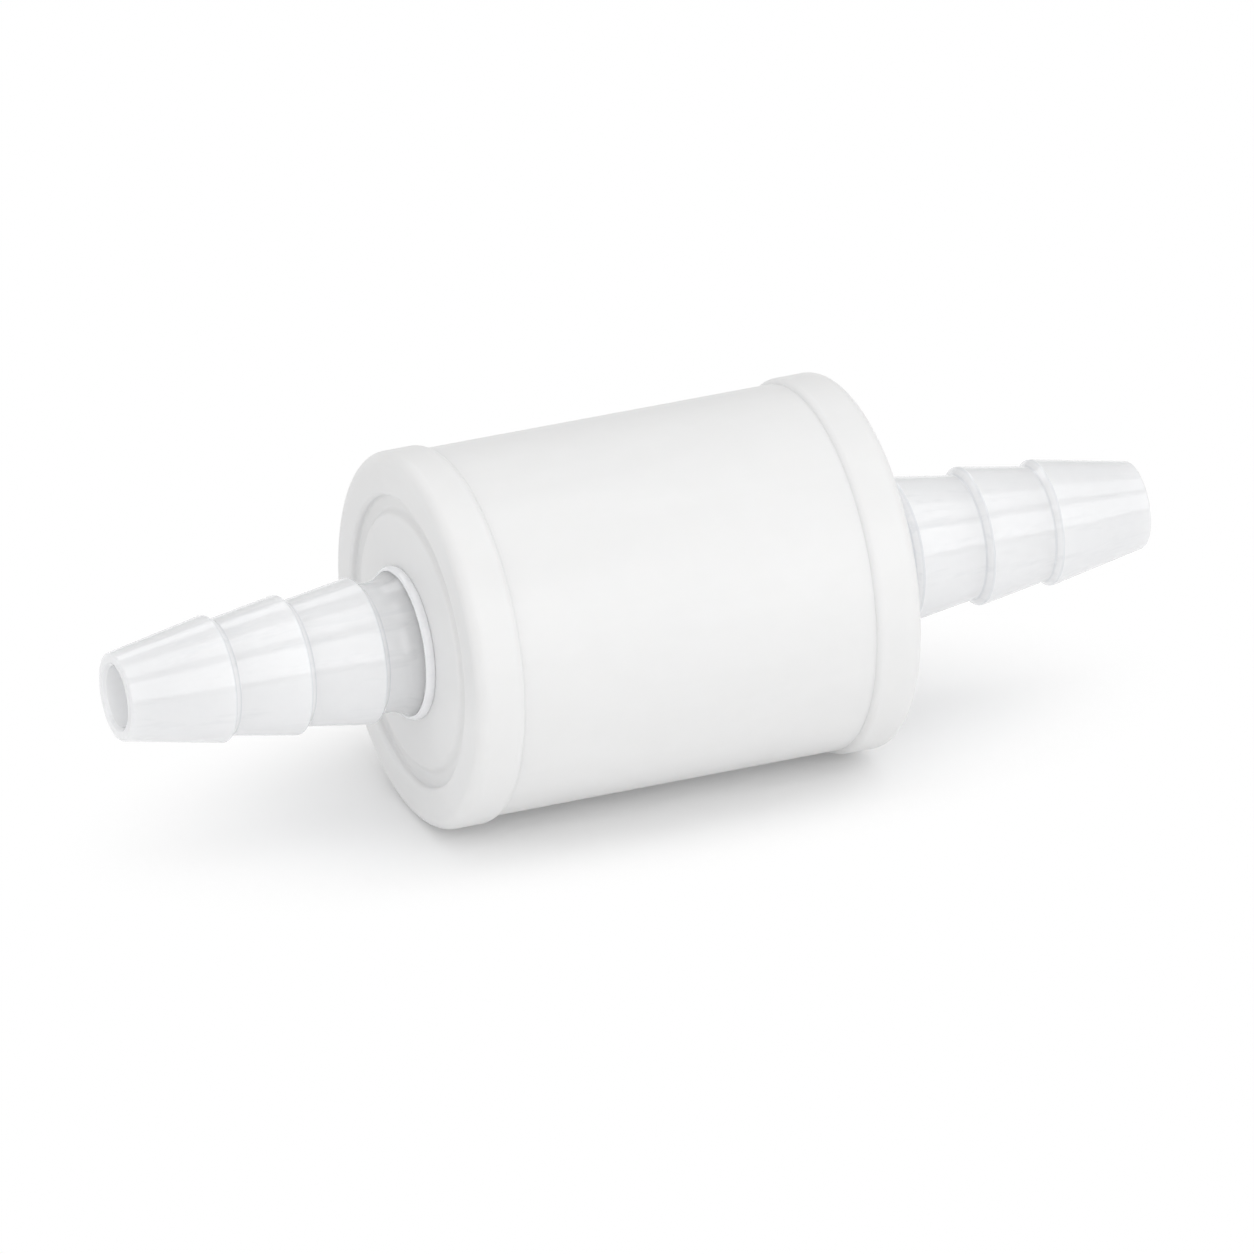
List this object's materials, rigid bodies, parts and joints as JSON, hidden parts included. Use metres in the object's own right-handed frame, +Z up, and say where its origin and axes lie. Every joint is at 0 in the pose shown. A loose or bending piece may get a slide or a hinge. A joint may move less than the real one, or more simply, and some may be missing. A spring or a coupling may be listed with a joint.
{
  "type": "in-line check valve",
  "caption": "In-line spring check valve: a white round housing with ring end caps and a translucent stepped hose barb at each end, holding a poppet that lets flow pass one way.",
  "frame": {"origin": "middle of the flow axis, halfway between the two barb tips", "axes": "+X along the flow axis, from the inlet to the outlet; +Z up as the valve lies on a table"},
  "size_m": [0.0966, 0.0334, 0.0335],
  "materials": {
    "white_pp": "satin white moulded polypropylene",
    "natural_pp": "natural, see-through moulded polypropylene with a soft gloss",
    "acetal": "satin moulded acetal",
    "ptfe": "turned PTFE",
    "epdm": "black moulded EPDM",
    "stainless": "turned and drawn stainless steel"
  },
  "bodies": {
    "housing": {"body_sleeve": "white_pp", "inlet_cap": "white_pp", "outlet_cap": "white_pp", "inlet_barb": "natural_pp", "outlet_barb": "natural_pp", "inlet_oring": "epdm", "outlet_oring": "epdm", "seat_ring": "acetal", "seat_oring": "epdm", "spacer_tube": "acetal", "guide_spider": "acetal", "guide_bush": "ptfe", "spring_washer": "stainless", "spring": "stainless"},
    "poppet": {"poppet_head": "acetal", "poppet_stem": "stainless", "poppet_seal": "epdm", "seal_retainer": "stainless", "retainer_nut": "stainless", "stem_clip": "stainless"}
  },
  "joints": [
    {"name": "poppet_slide", "type": "slide", "parent": "housing", "child": "poppet", "axis": [1, 0, 0], "range_m": [0, 0.0035], "stiffness_N_per_m": 300, "springref_m": -0.0025, "deforming": ["spring"]}
  ]
}
